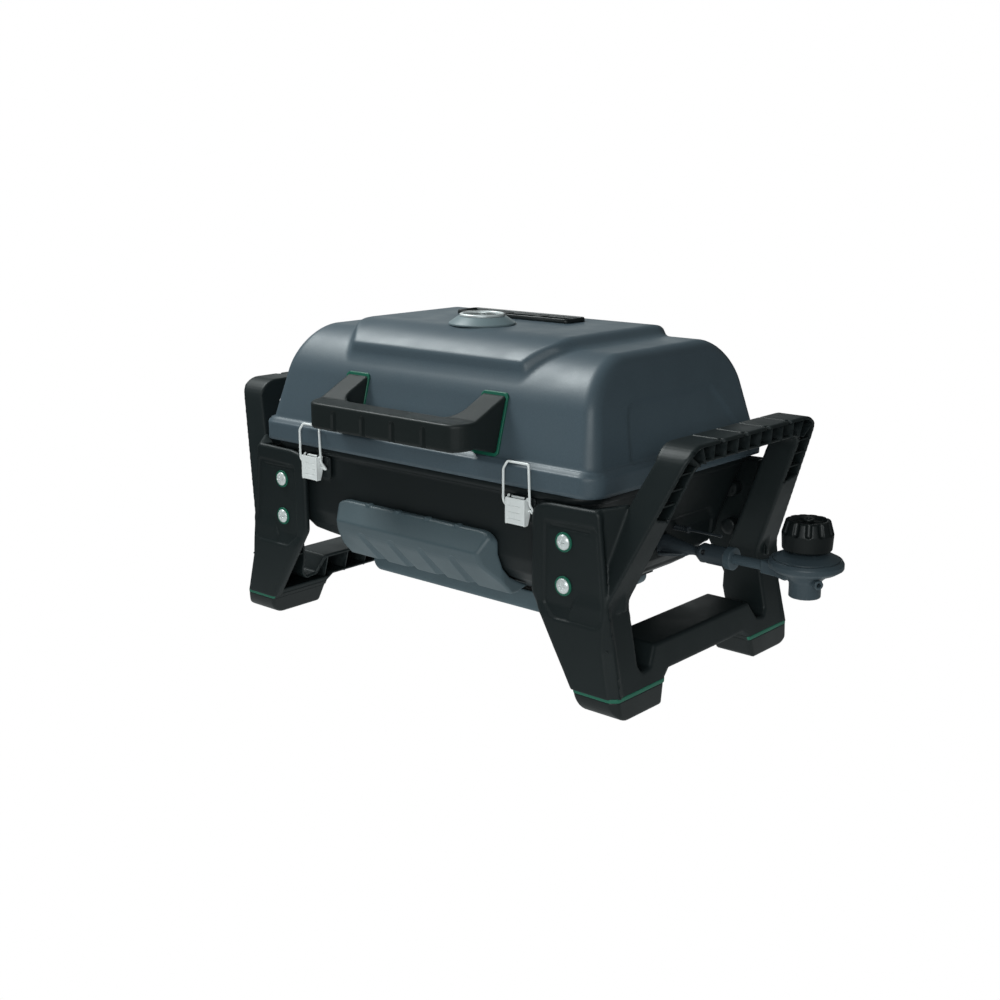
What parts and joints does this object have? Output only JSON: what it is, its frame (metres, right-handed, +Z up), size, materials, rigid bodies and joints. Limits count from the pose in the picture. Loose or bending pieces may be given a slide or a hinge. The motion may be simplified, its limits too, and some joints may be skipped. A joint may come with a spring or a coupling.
{
  "type": "portable tabletop grill",
  "caption": "Portable tabletop gas grill with a hinged cast lid, slide-out drip tray, draw latches, moulded leg frames with grips, and a pull-out regulator with a knob.",
  "frame": {"origin": "middle of the bottom of the bounding box, on the table", "axes": "+X towards the regulator, +Y towards the hinges at the back, +Z up"},
  "size_m": [0.729, 0.3725, 0.3656],
  "materials": {
    "lid_enamel": "satin slate-blue high-heat paint on cast aluminium",
    "firebox_enamel": "satin near-black high-heat paint on cast aluminium",
    "tray_enamel": "satin slate paint on pressed steel",
    "frame_plastic": "fine spark-eroded texture, glass-filled",
    "foot_plastic": "soft moulded black",
    "knob_plastic": "fine texture",
    "seam_plastic": "dark green moulding",
    "handle_gasket": "dark green silicone",
    "seal_rubber": "black rubber",
    "latch_steel": "brushed stainless",
    "plated_steel": "zinc plated",
    "hinge_steel": "black coated steel",
    "burner_steel": "stainless tube and sheet",
    "grate_iron": "porcelain-coated cast iron",
    "venturi_cast": "dark slate coating on die-cast aluminium",
    "regulator_cast": "semi-gloss slate paint on die-cast zinc",
    "brass": "turned",
    "gauge_chrome": "polished",
    "gauge_face": "white printed face",
    "gauge_glass": "clear",
    "needle_paint": "red lacquer",
    "insulator": null
  },
  "bodies": {
    "base": {"burner": "burner_steel", "burner_bracket": "hinge_steel", "cooking_grate": "grate_iron", "electrode": "insulator", "firebox": "firebox_enamel", "foot_back_left": "foot_plastic", "foot_back_right": "foot_plastic", "foot_front_left": "foot_plastic", "foot_front_right": "foot_plastic", "foot_seam_back_left": "seam_plastic", "foot_seam_back_right": "seam_plastic", "foot_seam_front_left": "seam_plastic", "foot_seam_front_right": "seam_plastic", "front_shield": "lid_enamel", "heat_plate": "burner_steel", "hinge_base_left": "hinge_steel", "hinge_base_right": "hinge_steel", "hinge_pins": "plated_steel", "latch_bracket_left": "hinge_steel", "latch_bracket_right": "hinge_steel", "latch_pins": "latch_steel", "leg_bolt_washers": "seam_plastic", "leg_bolts": "plated_steel", "leg_frame_left": "frame_plastic", "leg_frame_right": "frame_plastic", "shield_screws": "plated_steel", "tray_rail_left": "hinge_steel", "tray_rail_right": "hinge_steel", "venturi": "venturi_cast"},
    "lid": {"lid_shell": "lid_enamel", "lid_handle": "frame_plastic", "lid_handle_screws": "plated_steel", "lid_trim": "knob_plastic", "handle_gasket_left": "handle_gasket", "handle_gasket_right": "handle_gasket", "gauge_bezel": "lid_enamel", "gauge_dial": "gauge_face", "gauge_lens": "gauge_glass", "gauge_ring": "gauge_chrome", "gauge_probe": "plated_steel", "gauge_nut": "plated_steel", "hinge_leaf_left": "hinge_steel", "hinge_leaf_right": "hinge_steel"},
    "needle": {"gauge_needle": "needle_paint"},
    "tray": {"drip_tray": "tray_enamel"},
    "regulator": {"regulator_body": "regulator_cast", "regulator_cover": "regulator_cast", "regulator_diaphragm": "seal_rubber", "regulator_tube": "regulator_cast", "tube_collar": "regulator_cast", "gas_nozzle": "brass", "socket_pin": "brass", "socket_seal": "seal_rubber"},
    "knob": {"control_knob": "knob_plastic", "knob_stem": "plated_steel"},
    "lever_left": {"latch_lever_left": "latch_steel"},
    "bail_left": {"latch_bail_left": "latch_steel"},
    "lever_right": {"latch_lever_right": "latch_steel"},
    "bail_right": {"latch_bail_right": "latch_steel"}
  },
  "joints": [
    {"name": "lid_hinge", "type": "hinge", "parent": "base", "child": "lid", "pos_m": [-0.0425, 0.18175, 0.213], "axis": [-1, 0, 0], "range_deg": [0, 100]},
    {"name": "needle_turn", "type": "hinge", "parent": "lid", "child": "needle", "pos_m": [-0.0405, -0.02625, 0.358], "axis": [0, 0, -1], "range_deg": [0, 250]},
    {"name": "tray_slide", "type": "slide", "parent": "base", "child": "tray", "axis": [0, -1, 0], "range_m": [0, 0.14]},
    {"name": "regulator_pull", "type": "slide", "parent": "base", "child": "regulator", "axis": [1, 0, 0], "range_m": [0, 0.05]},
    {"name": "knob_turn", "type": "hinge", "parent": "regulator", "child": "knob", "pos_m": [0.3275, 0.04075, 0.16], "axis": [0, 0, 1], "range_deg": [0, 270]},
    {"name": "lever_left_pivot", "type": "hinge", "parent": "base", "child": "lever_left", "pos_m": [-0.1938, -0.13965, 0.204], "axis": [-1, 0, 0], "range_deg": [0, 140]},
    {"name": "bail_left_pivot", "type": "hinge", "parent": "lever_left", "child": "bail_left", "pos_m": [-0.1938, -0.13865, 0.1925], "axis": [1, 0, 0], "range_deg": [0, 168]},
    {"name": "lever_right_pivot", "type": "hinge", "parent": "base", "child": "lever_right", "pos_m": [0.1088, -0.13965, 0.204], "axis": [-1, 0, 0], "range_deg": [0, 140]},
    {"name": "bail_right_pivot", "type": "hinge", "parent": "lever_right", "child": "bail_right", "pos_m": [0.1088, -0.13865, 0.1925], "axis": [1, 0, 0], "range_deg": [0, 168]}
  ],
  "couplings": [
    {"joint": "bail_left_pivot", "follows": "lever_left_pivot", "ratio": 1.2},
    {"joint": "bail_right_pivot", "follows": "lever_right_pivot", "ratio": 1.2}
  ]
}
